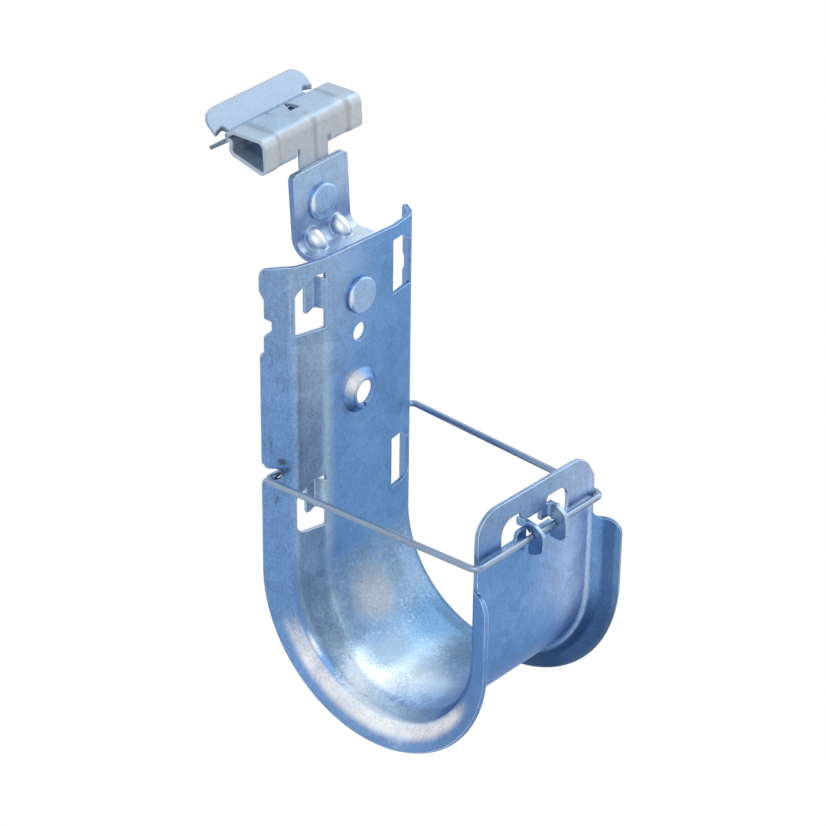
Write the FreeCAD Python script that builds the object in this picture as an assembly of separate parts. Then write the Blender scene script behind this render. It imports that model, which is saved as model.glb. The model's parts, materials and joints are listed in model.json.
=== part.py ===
"""Cable j-hook with wire retainer, riveted angle bracket and spring flange clip.

Millimetres, +Z up, +Y towards the wall or beam behind the hook, +X to the right.
The hook is built upright with its plate's front face at Y = 0 and its bowl axis at Z = 0.
The bracket and the clip are built square to the lower rivet and then leaned together.
At the end everything moves so that the origin is the mouth of the clip's jaw.
"""

import math
import os

import FreeCAD
import Part

V = FreeCAD.Vector

# Hook sheet
HOOK_T = 1.0
CABLE_GAP = 51.4
BOWL_R = CABLE_GAP / 2
BOWL_AXIS_Z = 0.9
PLATE_TOP = 78.5
WING_TOP = 18.7
TONGUE_TOP = 36.0
TONGUE_HALF = 20.5
BOWL_ROWS = 12

# Cross-section of the sheet, right half: crease, fold and rim of its smooth face as width
# against depth, then the bend radii at crease and fold
PLATE_SECTION = ((12.2, 0.0), (20.04, 1.66), (24.8, 7.95), 7.0, 4.5)
WING_SECTION = ((20.1, 0.0), (22.2, 1.75), (24.75, 7.2), 2.0, 2.5)
LIP_A = 6.55
LIP_B = 5.4
WING_CORNER = 4.0
EAR_DROP = 0.8

# Rim notches of the plate's flanges, as heights and as distances along the lip
UPPER_NOTCH = (PLATE_TOP - 12.6, PLATE_TOP - 8.0)
UPPER_NOTCH_LIP = 5.5
MIDDLE_NOTCH = (PLATE_TOP - 15.9, PLATE_TOP - 13.4)
MIDDLE_NOTCH_LIP = 3.8
LOWER_NOTCH = (PLATE_TOP - 21.2, PLATE_TOP - 17.4)
LOWER_NOTCH_LIP = 5.6

# Windows in the back plate
WINDOW_IN = 11.3
WINDOW_OUT = 19.6
UPPER_WINDOW = (PLATE_TOP - 17.1, PLATE_TOP - 3.4)
LOWER_WINDOW = (10.2, 23.5)
LUG_BACK = 3.0
LUG_TIP = 14.6

# Round features on the plate's centre line
LOWER_RIVET_Z = PLATE_TOP - 12.9
SMALL_HOLE_Z = LOWER_RIVET_Z - 9.5
SMALL_HOLE_R = 2.25
BOSS_Z = LOWER_RIVET_Z - 24.5
BOSS_R = 5.6
BOSS_HOLE_R = 2.9
BOSS_RISE = 1.7

# Rivets
SHANK_R = 2.4
HEAD_R = 4.45
HEAD_T = 1.2
TAIL_HEAD_R = 3.75
TURN_PLAY = 0.05
FACE_PLAY = 0.05

# Angle bracket
BRACKET_T = 1.5
BRACKET_HALF = 9.0
LEG_FOOT = -6.9
SHELF_TOP = 11.3
UPPER_LEG_FRONT = 10.3
UPPER_LEG_TOP = 29.8
UPPER_RIVET_Z = 20.5
LEAN = 3.9
DART_X = 4.1
DART_R = 2.4
DART_REACH = 4.6
DART_WALL = 0.9

# Flange clip
CLIP_T = 0.9
CLIP_HALF = 15.75
CLIP_TOP = 40.7
BAND_IN = 11.2
BAND_STEP = 0.35
TAIL_HALF = 4.5
SLOT_HALF = 5.5
TAIL_FOOT = 15.5
UPPER_TIP = (31.2, 42.05)
LOWER_CREST = (21.75, 38.6)
LOWER_TIP = (29.7, 33.7)
JAW_Y = 23.5
JAW_Z = 38.9

# Wire retainer
WIRE_R = 0.8
PIVOT_Y = 6.1
SLOT_FLOOR = 24.75
SLOT_H = 2.9
SLOT_END = 1.9
SLOT_PLAY = 0.05
PIVOT_Z = SLOT_FLOOR + SLOT_PLAY + WIRE_R
ARM_REAR_X = 25.5
ARM_FRONT_X = 22.3
BAR_Y = -53.95
BAR_Z = 24.5
WIRE_END_X = 19.5


def unit(dx, dy):
    """Direction of length one."""
    size = math.hypot(dx, dy)
    return dx / size, dy / size


def corner_arc(before, corner, after, radius):
    """Start, middle and end of the arc that rounds a corner in a flat outline."""
    ux, uy = unit(before[0] - corner[0], before[1] - corner[1])
    wx, wy = unit(after[0] - corner[0], after[1] - corner[1])
    half = math.acos(max(-1.0, min(1.0, ux * wx + uy * wy))) / 2
    reach = radius / math.tan(half)
    bx, by = unit(ux + wx, uy + wy)
    away = radius / math.sin(half) - radius
    start = (corner[0] + ux * reach, corner[1] + uy * reach)
    middle = (corner[0] + bx * away, corner[1] + by * away)
    end = (corner[0] + wx * reach, corner[1] + wy * reach)
    return start, middle, end


def in_plane(plane, across):
    """Function that puts a flat point into the named plane at a distance across it."""
    if plane == "xy":
        return lambda a, b: V(a, b, across)
    if plane == "xz":
        return lambda a, b: V(a, across, b)
    return lambda a, b: V(across, a, b)


def normal(plane):
    """Direction across the named plane."""
    return {"xy": V(0, 0, 1), "xz": V(0, 1, 0), "yz": V(1, 0, 0)}[plane]


def outline(points, radii, place):
    """Closed wire through flat points, with each corner rounded by its radius."""
    count = len(points)
    stops = []
    for i in range(count):
        radius = radii.get(i, 0.0)
        if radius > 0:
            stops.append(corner_arc(points[i - 1], points[i], points[(i + 1) % count], radius))
        else:
            stops.append((points[i], None, points[i]))
    edges = []
    for i in range(count):
        start, middle, end = stops[i]
        if middle is not None:
            edges.append(Part.Arc(place(*start), place(*middle), place(*end)).toShape())
        following = stops[(i + 1) % count][0]
        if math.hypot(end[0] - following[0], end[1] - following[1]) > 1e-6:
            edges.append(Part.makeLine(place(*end), place(*following)))
    return Part.Wire(edges)


def prism(points, plane, low, high, radii=None):
    """Solid from a flat outline, between two distances across its plane."""
    wire = outline(points, radii or {}, in_plane(plane, low))
    return Part.Face(wire).extrude(normal(plane) * (high - low))


def side_line(points, radii, shift):
    """One side of a folded strip: its lines and arcs, shifted from the middle line."""
    pieces = []
    count = len(points)
    last = None
    for i in range(count):
        if i == 0 or i == count - 1:
            j = 0 if i == 0 else count - 2
            tx, ty = unit(points[j + 1][0] - points[j][0], points[j + 1][1] - points[j][1])
            spot = (points[i][0] - ty * shift, points[i][1] + tx * shift)
            if last is not None:
                pieces.append((last, None, spot))
            last = spot
            continue
        start, middle, end = corner_arc(points[i - 1], points[i], points[i + 1], radii[i - 1])
        ax, ay = unit(points[i][0] - points[i - 1][0], points[i][1] - points[i - 1][1])
        bx, by = unit(points[i + 1][0] - points[i][0], points[i + 1][1] - points[i][1])
        mx, my = unit(ax + bx, ay + by)
        first = (start[0] - ay * shift, start[1] + ax * shift)
        centre = (middle[0] - my * shift, middle[1] + mx * shift)
        final = (end[0] - by * shift, end[1] + bx * shift)
        pieces.append((last, None, first))
        pieces.append((first, centre, final))
        last = final
    return pieces


def strip_wire(points, radii, thickness, place):
    """Closed outline of a folded strip of even thickness about its middle line."""
    near = side_line(points, radii, thickness / 2)
    far = side_line(points, radii, -thickness / 2)
    edges = []
    for start, middle, end in near:
        if middle is None:
            edges.append(Part.makeLine(place(*start), place(*end)))
        else:
            edges.append(Part.Arc(place(*start), place(*middle), place(*end)).toShape())
    edges.append(Part.makeLine(place(*near[-1][2]), place(*far[-1][2])))
    for start, middle, end in reversed(far):
        if middle is None:
            edges.append(Part.makeLine(place(*end), place(*start)))
        else:
            edges.append(Part.Arc(place(*end), place(*middle), place(*start)).toShape())
    edges.append(Part.makeLine(place(*far[0][0]), place(*near[0][0])))
    return Part.Wire(edges)


def strip(points, radii, thickness, plane, low, high):
    """Solid of a folded strip, between two distances across its plane."""
    wire = strip_wire(points, radii, thickness, in_plane(plane, low))
    return Part.Face(wire).extrude(normal(plane) * (high - low))


def mirrored(shape):
    """The same shape on the other side of the hook's middle plane."""
    return shape.mirror(V(0, 0, 0), V(1, 0, 0))


def both(shape):
    """A right-hand shape with its left-hand twin."""
    return [shape, mirrored(shape)]


def drill(radius, x, z, low, high):
    """Round cutter along Y."""
    return Part.makeCylinder(radius, high - low, V(x, low, z), V(0, 1, 0))


def shifted(points, shift):
    """Open line moved sideways by a distance, corners kept."""
    moved = []
    count = len(points)
    for i in range(count):
        before = unit(points[i][0] - points[i - 1][0], points[i][1] - points[i - 1][1]) if i else None
        after = None
        if i < count - 1:
            after = unit(points[i + 1][0] - points[i][0], points[i + 1][1] - points[i][1])
        before = before or after
        after = after or before
        scale = shift / (1 + before[0] * after[0] + before[1] * after[1])
        dx = -(before[1] + after[1]) * scale
        dy = (before[0] + after[0]) * scale
        moved.append((points[i][0] + dx, points[i][1] + dy))
    return moved


def trough_line(section):
    """Middle line of the sheet's cross-section, as width against depth, with its bend radii."""
    crease, fold, rim = section[:3]
    face = [(-rim[0], rim[1]), (-fold[0], fold[1]), (-crease[0], crease[1]), crease, fold, rim]
    return shifted(face, HOOK_T / 2), [section[4], section[3], section[3], section[4]]


def mixed(first, second, share):
    """Cross-section between two others."""
    corners = [
        (a[0] + (b[0] - a[0]) * share, a[1] + (b[1] - a[1]) * share)
        for a, b in zip(first[:3], second[:3])
    ]
    radii = [a + (b - a) * share for a, b in zip(first[3:], second[3:])]
    return (*corners, *radii)


def lip_place(section, lip, depth_to_y, offset):
    """Function from a spot on the right-hand lip, as distance along it and height, to a point."""
    fold, rim = section[1:3]
    ux, ud = unit(rim[0] - fold[0], rim[1] - fold[1])
    base_x = rim[0] - lip * ux
    base_d = rim[1] - lip * ud

    def place(s, z):
        """Point at a distance along the lip, at a height."""
        x = base_x + s * ux - ud * offset
        d = base_d + s * ud + ux * offset
        return V(x, depth_to_y(d), z)

    return place


def lip_cutter(points, radii, section, lip, depth_to_y):
    """Cutter square to the right-hand lip."""
    low = lip_place(section, lip, depth_to_y, -4.0)
    high = lip_place(section, lip, depth_to_y, 4.0)
    face = Part.Face(outline(points, radii, low))
    return face.extrude(high(0, 0) - low(0, 0))


def trough_sheet():
    """Plate, bowl and tongue with their curled flanges, before anything is cut."""

    def round_bowl(turn):
        """Function that puts the cross-section at an angle round the bowl."""
        cos, sin = math.cos(turn), math.sin(turn)
        return lambda a, b: V(a, -BOWL_R + (BOWL_R + b) * cos, BOWL_AXIS_Z - (BOWL_R + b) * sin)

    rows = []
    for i in range(BOWL_ROWS + 1):
        share = i / BOWL_ROWS
        ease = share * share * (3 - 2 * share)
        line, bends = trough_line(mixed(PLATE_SECTION, WING_SECTION, ease))
        rows.append(strip_wire(line, bends, HOOK_T, round_bowl(math.pi * share)))
    bowl = Part.makeLoft(rows, True, False)
    plate = Part.Face(rows[0]).extrude(V(0, 0, PLATE_TOP - BOWL_AXIS_Z))
    tongue = Part.Face(rows[-1]).extrude(V(0, 0, TONGUE_TOP - BOWL_AXIS_Z))
    return plate.multiFuse([bowl, tongue])


def plate_rim_cutters():
    """Rim notches, top corners and wire slots of the back plate's flanges."""
    beyond = LIP_A + 3.0
    slot_top = SLOT_FLOOR + SLOT_H
    end = SLOT_H / 2
    points = [
        (beyond, PLATE_TOP + 3.0),
        (0.4, PLATE_TOP + 3.0),
        (0.4, PLATE_TOP),
        (LIP_A, PLATE_TOP - EAR_DROP),
        (LIP_A, UPPER_NOTCH[1] + 2.2),
        (UPPER_NOTCH_LIP, UPPER_NOTCH[1]),
        (UPPER_NOTCH_LIP, UPPER_NOTCH[0]),
        (MIDDLE_NOTCH_LIP, MIDDLE_NOTCH[1]),
        (MIDDLE_NOTCH_LIP, MIDDLE_NOTCH[0]),
        (LOWER_NOTCH_LIP, LOWER_NOTCH[1]),
        (LOWER_NOTCH_LIP, LOWER_NOTCH[0]),
        (LIP_A, LOWER_NOTCH[0] - 1.0),
        (LIP_A, 29.2),
        (5.3, slot_top),
        (SLOT_END, slot_top),
        (SLOT_END, SLOT_FLOOR),
        (LIP_A, SLOT_FLOOR),
        (LIP_A, 22.0),
        (beyond, 22.0),
    ]
    radii = {
        3: 2.0,
        4: 0.9,
        5: 0.9,
        6: 0.5,
        7: 0.4,
        8: 0.4,
        9: 0.8,
        10: 0.5,
        11: 0.4,
        12: 1.1,
        13: 0.8,
        14: end * 0.98,
        15: end * 0.98,
        16: 1.4,
    }
    cutter = lip_cutter(points, radii, PLATE_SECTION, LIP_A, lambda d: d)
    return both(cutter)


def tongue_cutters():
    """Outline of the tongue above its wings, and the rounded front corners of the wings."""
    far = 30.0
    low, high = -CABLE_GAP - 12.0, -CABLE_GAP + 3.0
    points = [
        (far, WING_TOP),
        (TONGUE_HALF, WING_TOP),
        (TONGUE_HALF, TONGUE_TOP),
        (0.0, TONGUE_TOP),
        (0.0, TONGUE_TOP + 3.0),
        (far, TONGUE_TOP + 3.0),
    ]
    side = prism(points, "xz", low, high, {1: 2.2, 2: 7.0})
    beyond = LIP_B + 3.0
    corner = [
        (beyond, WING_TOP + 2.0),
        (0.3, WING_TOP + 2.0),
        (0.3, WING_TOP),
        (LIP_B, WING_TOP),
        (LIP_B, 8.5),
        (beyond, 8.5),
    ]
    rim = lip_cutter(corner, {3: WING_CORNER}, WING_SECTION, LIP_B, lambda d: -CABLE_GAP - d)
    return both(side) + both(rim)


def window_cutters():
    """Windows of the back plate, each with its top outer corner cut away broadly."""
    cutters = []
    for low, high in (UPPER_WINDOW, LOWER_WINDOW):
        window = [
            (WINDOW_IN, low),
            (WINDOW_OUT, low),
            (WINDOW_OUT, high - 3.4),
            (WINDOW_OUT - 4.6, high),
            (WINDOW_IN, high),
        ]
        foot = 0.4 if low == UPPER_WINDOW[0] else 2.4
        cutters += both(prism(window, "xz", -1.0, 8.0, {0: 0.4, 1: foot, 2: 2.2, 3: 2.2, 4: 0.4}))
    return cutters


def lug(trim, radii):
    """Lug bent back from a window's inner edge and then outwards, trimmed to its outline."""
    mid = HOOK_T / 2
    path = [
        (WINDOW_IN - 1.8, mid),
        (WINDOW_IN + 0.1, mid),
        (WINDOW_IN + 1.0, LUG_BACK),
        (LUG_TIP, LUG_BACK + 0.9),
    ]
    low = min(z for _, z in trim)
    high = max(z for _, z in trim)
    body = strip(path, [1.0, 0.9], HOOK_T, "xy", low, high)
    keep = prism(trim, "xz", -1.0, 7.0, radii)
    return body.common(keep)


def lugs():
    """Lugs of the four windows."""
    made = []
    for low, high in (UPPER_WINDOW, LOWER_WINDOW):
        trim = [
            (WINDOW_IN - 1.7, high - 9.1),
            (WINDOW_IN + 1.4, high - 9.0),
            (LUG_TIP - 0.6, high - 10.2),
            (LUG_TIP + 0.6, high - 10.2),
            (LUG_TIP + 0.6, high - 1.6),
            (WINDOW_IN + 2.2, high - 1.0),
            (WINDOW_IN + 1.2, high - 1.4),
            (WINDOW_IN - 1.7, high - 2.2),
        ]
        made += both(lug(trim, {1: 1.0, 2: 0.5, 3: 0.3, 4: 1.0, 5: 0.6, 6: 0.6}))
    return made


def boss():
    """Raised ring round the screw hole, split at the foot like a pressed thread."""
    points = [
        (BOSS_HOLE_R, -BOSS_RISE),
        (BOSS_HOLE_R + 0.8, -BOSS_RISE),
        (BOSS_R, 0.0),
        (BOSS_R, HOOK_T),
        (BOSS_R - 0.6, HOOK_T),
        (BOSS_HOLE_R, -BOSS_RISE + HOOK_T),
    ]
    wire = outline(points, {1: 0.4}, lambda a, b: V(a, b, BOSS_Z))
    ring = Part.Face(wire).revolve(V(0, 0, BOSS_Z), V(0, 1, 0), 360)
    slit = Part.makeBox(0.9, BOSS_RISE + HOOK_T + 2, 2.6, V(-0.45, -BOSS_RISE - 1, BOSS_Z - 4.3))
    return ring.cut(slit)


def tab_cutters():
    """Window in the tongue and the gaps that the two latch tabs leave in the sheet."""
    low, high = -CABLE_GAP - 4.0, -CABLE_GAP + 2.0
    window = [
        (-11.9, 24.3),
        (-6.4, 24.3),
        (-6.2, 26.4),
        (-3.1, 26.4),
        (-3.1, 24.3),
        (11.9, 24.3),
        (11.9, 31.3),
        (4.2, 31.3),
        (3.3, 28.6),
        (-4.0, 28.6),
        (-5.4, 31.3),
        (-11.9, 31.3),
    ]
    radii = {0: 0.8, 1: 0.8, 2: 1.0, 3: 0.3, 5: 0.8, 6: 3.6, 7: 0.9, 8: 0.4, 9: 0.9, 10: 0.9, 11: 3.6}
    left = [(-3.1, 19.7), (1.6, 19.7), (1.6, 24.6), (-3.1, 24.6)]
    right = [(6.0, 20.6), (9.8, 20.6), (9.8, 24.6), (6.0, 24.6)]
    return [
        prism(window, "xz", low, high, radii),
        prism(left, "xz", low, high, {1: 0.8}),
        prism(right, "xz", low, high, {0: 0.5, 1: 0.8}),
    ]


def tabs():
    """Latch tabs: each leaves the sheet round a bend and stands forward about the wire."""
    mid = -CABLE_GAP - HOOK_T / 2
    front = -CABLE_GAP - HOOK_T
    notch_r = WIRE_R + 0.2
    hole = Part.makeCylinder(notch_r, 30.0, V(-15, BAR_Y, BAR_Z), V(1, 0, 0))
    left_face = -3.0
    left_plate = [
        (front + 0.4, 19.9),
        (-54.9, 20.2),
        (-57.0, 21.3),
        (-57.1, 25.2),
        (-56.3, 26.4),
        (-54.6, 27.4),
        (-52.0, 27.9),
        (-49.3, 28.0),
        (-49.4, 25.9),
        (-52.1, 26.2),
        (BAR_Y, BAR_Z),
        (-51.9, 23.2),
        (front + 0.4, 23.1),
    ]
    radii = {1: 2.0, 2: 1.2, 3: 1.0, 4: 1.0, 5: 1.2, 6: 3.0, 7: 0.3, 8: 0.6}
    left = prism(left_plate, "yz", left_face, left_face + HOOK_T, radii)
    path = [(-7.0, mid), (left_face + HOOK_T / 2, mid), (left_face + HOOK_T / 2, mid - 2.6)]
    left_root = strip(path, [1.6], HOOK_T, "xy", 19.9, 23.1)
    right_face = 4.9
    right_plate = [
        (front + 0.4, 29.6),
        (-55.0, 28.8),
        (-56.9, 27.6),
        (-57.3, 25.0),
        (-57.4, 21.9),
        (-55.8, 20.7),
        (-52.8, 20.9),
        (-52.7, 23.2),
        (BAR_Y, BAR_Z),
        (-52.5, 25.9),
        (front + 0.4, 26.0),
    ]
    radii = {1: 1.4, 2: 1.6, 4: 1.0, 5: 1.2, 6: 0.5}
    right = prism(right_plate, "yz", right_face, right_face + HOOK_T, radii)
    path = [(2.0, mid), (right_face + HOOK_T / 2, mid), (right_face + HOOK_T / 2, mid - 2.6)]
    right_root = strip(path, [1.6], HOOK_T, "xy", 26.0, 29.4)
    bridge = prism([(2.0, 26.0), (3.6, 26.0), (3.6, 31.5), (2.0, 31.5)], "xz", front, front + HOOK_T,
                   {0: 1.0})
    left = left.fuse(left_root).cut(hole)
    right = right.multiFuse([right_root, bridge]).cut(hole)
    return [left, right]


def build_hook():
    """The whole hook sheet."""
    sheet = trough_sheet()
    holes = [
        drill(SHANK_R + TURN_PLAY, 0, LOWER_RIVET_Z, -2.0, 4.0),
        drill(SMALL_HOLE_R, 0, SMALL_HOLE_Z, -2.0, 4.0),
        drill(BOSS_R - 0.01, 0, BOSS_Z, -2.0, 4.0),
    ]
    cutters = plate_rim_cutters() + tongue_cutters() + window_cutters() + tab_cutters() + holes
    for cutter in cutters:
        sheet = sheet.cut(cutter)
    sheet = sheet.multiFuse(lugs() + tabs() + [boss()])
    return sheet.removeSplitter()


def bracket_front():
    """Y of the bracket's lower leg where it lies behind the plate."""
    return HOOK_T + FACE_PLAY


def build_bracket():
    """Folded bracket, square to the lower rivet, which is at the local origin."""
    half_t = BRACKET_T / 2
    leg = bracket_front() + half_t
    shelf = SHELF_TOP - half_t
    upper = UPPER_LEG_FRONT + half_t
    path = [(leg, LEG_FOOT), (leg, shelf), (upper, shelf), (upper, UPPER_LEG_TOP)]
    body = strip(path, [1.75, 3.75], BRACKET_T, "yz", -BRACKET_HALF, BRACKET_HALF)
    back = UPPER_LEG_FRONT + BRACKET_T
    under = SHELF_TOP - BRACKET_T
    corner = [(0.0, UPPER_LEG_TOP), (0.0, under), (back, under), (back, UPPER_LEG_TOP)]
    inside = prism(corner, "yz", -BRACKET_HALF, BRACKET_HALF, {2: 4.5})
    for x in (-DART_X, DART_X):
        body = body.fuse(dart(x, DART_R, DART_REACH, 0.0).common(inside))
    for x in (-DART_X, DART_X):
        body = body.cut(dart(x, DART_R - DART_WALL, DART_REACH - DART_WALL, BRACKET_T))
    corner = [
        (BRACKET_HALF - 1.5, UPPER_LEG_TOP + 1),
        (BRACKET_HALF - 1.5, UPPER_LEG_TOP),
        (BRACKET_HALF, UPPER_LEG_TOP),
        (BRACKET_HALF, UPPER_LEG_TOP - 1.5),
        (BRACKET_HALF + 1, UPPER_LEG_TOP - 1.5),
        (BRACKET_HALF + 1, UPPER_LEG_TOP + 1),
    ]
    top = prism(corner, "xz", UPPER_LEG_FRONT - 1, UPPER_LEG_FRONT + 3, {2: 1.45})
    foot = [
        (BRACKET_HALF - 2.5, LEG_FOOT - 1),
        (BRACKET_HALF - 2.5, LEG_FOOT),
        (BRACKET_HALF, LEG_FOOT),
        (BRACKET_HALF, LEG_FOOT + 2.5),
        (BRACKET_HALF + 1, LEG_FOOT + 2.5),
        (BRACKET_HALF + 1, LEG_FOOT - 1),
    ]
    bottom = prism(foot, "xz", 0.0, 4.0, {2: 2.45})
    for cutter in both(top) + both(bottom):
        body = body.cut(cutter)
    first = bracket_front()
    body = body.cut(drill(SHANK_R, 0, 0, first - 1.0, first + BRACKET_T + 1.0))
    body = body.cut(drill(SHANK_R, 0, UPPER_RIVET_Z, UPPER_LEG_FRONT - 1.0, back + 1.0))
    return body.removeSplitter()


def dart(x, radius, reach, back):
    """Pressed dart across the bracket's inner corner: a slanted spindle."""
    middle = V(x, UPPER_LEG_FRONT - 1.1, SHELF_TOP + 1.1)
    away = V(0, 1, -1)
    away.normalize()
    along = V(0, 1, 1)
    along.normalize()
    centre = middle + away * back
    side = V(1, 0, 0)
    bow = Part.Arc(centre - along * reach, centre + side * radius, centre + along * reach)
    axis = Part.makeLine(centre + along * reach, centre - along * reach)
    half = Part.Face(Part.Wire([bow.toShape(), axis]))
    return half.revolve(centre, along, 360)


def build_rivet(z, head_front, head_back, tail_front):
    """Flat-headed rivet along Y with its clinched rear head."""
    points = [
        (0.0, head_front),
        (HEAD_R, head_front),
        (HEAD_R, head_back),
        (SHANK_R, head_back),
        (SHANK_R, tail_front),
        (TAIL_HEAD_R, tail_front),
        (TAIL_HEAD_R, tail_front + HEAD_T),
        (0.0, tail_front + HEAD_T),
    ]
    wire = outline(points, {1: 0.3, 6: 0.6}, lambda a, b: V(a, b, z))
    return Part.Face(wire).revolve(V(0, 0, z), V(0, 1, 0), 360)


def clip_profile(front):
    """Middle line of the folded clip from the upper lip round to the lower lip."""
    half = CLIP_T / 2
    top = CLIP_TOP - half
    wall = front + half
    line = [
        UPPER_TIP,
        (25.9, 37.25),
        (21.6, top),
        (wall, top),
        (wall, 32.15),
        (22.45, 35.0),
        LOWER_CREST,
        LOWER_TIP,
    ]
    return line, [1.6, 2.0, 1.75, 1.35, 1.2, 0.6]


def build_clip():
    """Folded spring clip with its lanced tail, square to the bracket."""
    wall = UPPER_LEG_FRONT + BRACKET_T + FACE_PLAY
    line, bends = clip_profile(wall)
    bands = []
    proud, proud_bends = clip_profile(wall - BAND_STEP)
    flush = strip_wire(line, bends, CLIP_T, in_plane("yz", BAND_IN))
    raised = strip_wire(proud, proud_bends, CLIP_T, in_plane("yz", BAND_IN + 1.1))
    bands.append(Part.makeLoft([flush, raised], True, True))
    bands.append(strip(proud, proud_bends, CLIP_T, "yz", BAND_IN + 1.1, CLIP_HALF))
    core = strip(line, bends, CLIP_T, "yz", -BAND_IN, BAND_IN)
    pieces = [core]
    for band in bands:
        pieces += both(band)
    body = pieces[0].multiFuse(pieces[1:])
    slot_top = 34.6
    gap = [
        (wall - 2, 20.0),
        (24.6, 20.0),
        (24.6, 38.0),
        (wall + CLIP_T, 38.0),
        (wall + CLIP_T, slot_top),
        (wall - 2, slot_top),
    ]
    body = body.cut(prism(gap, "yz", -SLOT_HALF, SLOT_HALF))
    tail = [
        (-TAIL_HALF, slot_top + 2.0),
        (-TAIL_HALF, TAIL_FOOT),
        (TAIL_HALF, TAIL_FOOT),
        (TAIL_HALF, slot_top + 2.0),
    ]
    tail = prism(tail, "xz", wall, wall + CLIP_T, {1: TAIL_HALF - 0.05, 2: TAIL_HALF - 0.05})
    body = body.fuse(tail)
    body = body.cut(drill(SHANK_R + TURN_PLAY, 0, UPPER_RIVET_Z, wall - 1.0, wall + CLIP_T + 1.0))
    for cutter in clip_cutters():
        body = body.cut(cutter)
    return body.fuse(tooth()).removeSplitter()


def clip_cutters():
    """Lance, slit and relief notches in the clip's top, and its rounded lip corners."""
    top = CLIP_TOP
    lance = prism([(2.9, 17.8), (1.96, 23.3), (-0.66, 18.0)], "xy", top - 3, top + 3)
    slit = prism([(-4.35, 23.9), (-3.95, 23.9), (-4.5, 20.8), (-4.9, 20.8)], "xy", top - 4, top + 3)
    notch = [
        (-CLIP_HALF - 1, 23.4),
        (-13.2, 24.6),
        (-12.0, 26.2),
        (-13.0, 27.4),
        (-CLIP_HALF - 1, 26.6),
    ]
    relief = prism(notch, "xy", 37.0, top + 3, {1: 1.2, 2: 0.9, 3: 0.9})
    cutters = [lance, slit] + both(relief)
    along = V(0, UPPER_TIP[0] - 25.9, UPPER_TIP[1] - 37.25)
    along.normalize()
    across = V(0, -along.z, along.y)
    tip = V(0, UPPER_TIP[0], UPPER_TIP[1])

    def on_lip(a, b):
        """Point on a plane under the upper lip, as width against distance past its tip."""
        return tip + V(a, 0, 0) + along * b - across * 3.0

    far = CLIP_HALF + 2
    corner = [(far, -9.0), (CLIP_HALF, -9.0), (CLIP_HALF, 0.0), (5.0, 0.0), (5.0, 3.0), (far, 3.0)]
    face = Part.Face(outline(corner, {2: 3.6}, on_lip))
    cutters += both(face.extrude(across * 6.0))
    low_along = V(0, LOWER_TIP[0] - LOWER_CREST[0], LOWER_TIP[1] - LOWER_CREST[1])
    low_along.normalize()
    low_across = V(0, -low_along.z, low_along.y)
    low_tip = V(0, LOWER_TIP[0], LOWER_TIP[1])

    def on_low_lip(a, b):
        """Point on a plane under the lower lip, as width against distance past its tip."""
        return low_tip + V(a, 0, 0) + low_along * b - low_across * 2.0

    corner = [(far, -5.0), (CLIP_HALF, -5.0), (CLIP_HALF, 0.0), (5.0, 0.0), (5.0, 3.0), (far, 3.0)]
    face = Part.Face(outline(corner, {2: 1.5}, on_low_lip))
    cutters += both(face.extrude(low_across * 4.0))
    return cutters


def tooth():
    """Flap of the top's lance, bent down inside the clip."""
    top = CLIP_TOP
    hinge_a = V(-0.66, 18.0, top - CLIP_T)
    hinge_b = V(1.96, 23.3, top - CLIP_T)
    tip = V(1.9, 19.4, top - CLIP_T - 2.9)
    across = (hinge_b - hinge_a).cross(tip - hinge_a)
    across.normalize()
    across = across * CLIP_T
    lift = V(-0.4, 0.2, 0.35)
    base = Part.makePolygon([hinge_a + lift, hinge_b + lift, tip, hinge_a + lift])
    if across.x > 0:
        across = across * -1
    return Part.Face(base).extrude(across)


def corner_3d(before, corner, after, radius):
    """Start, middle and end of the arc that rounds a corner in space."""
    u = before - corner
    w = after - corner
    u.normalize()
    w.normalize()
    half = u.getAngle(w) / 2
    bisector = u + w
    bisector.normalize()
    start = corner + u * (radius / math.tan(half))
    end = corner + w * (radius / math.tan(half))
    middle = corner + bisector * (radius / math.sin(half) - radius)
    return start, middle, end


def build_retainer():
    """Bent wire: inward ends in the rim slots, two arms and a front bar."""
    points = [
        V(-WIRE_END_X, PIVOT_Y, PIVOT_Z),
        V(-ARM_REAR_X, PIVOT_Y, PIVOT_Z),
        V(-ARM_FRONT_X, BAR_Y, BAR_Z),
        V(ARM_FRONT_X, BAR_Y, BAR_Z),
        V(ARM_REAR_X, PIVOT_Y, PIVOT_Z),
        V(WIRE_END_X, PIVOT_Y, PIVOT_Z),
    ]
    radii = [1.7, 2.0, 2.0, 1.7]
    edges = []
    last = points[0]
    for i in range(1, len(points) - 1):
        start, middle, end = corner_3d(points[i - 1], points[i], points[i + 1], radii[i - 1])
        edges.append(Part.makeLine(last, start))
        edges.append(Part.Arc(start, middle, end).toShape())
        last = end
    edges.append(Part.makeLine(last, points[-1]))
    path = Part.Wire(edges)
    ring = Part.Wire(Part.makeCircle(WIRE_R, points[0], V(1, 0, 0)))
    return path.makePipeShell([ring], True, False)


def lean(shape):
    """Lean a shape from its square place to the angle it holds about the lower rivet."""
    moved = shape.copy()
    moved.translate(V(0, 0, LOWER_RIVET_Z))
    moved.rotate(V(0, 0, LOWER_RIVET_Z), V(0, 1, 0), -LEAN)
    return moved


def jaw_origin():
    """Mouth of the clip's jaw in the hook's own frame."""
    turn = math.radians(LEAN)
    return V(-JAW_Z * math.sin(turn), JAW_Y, LOWER_RIVET_Z + JAW_Z * math.cos(turn))


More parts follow.
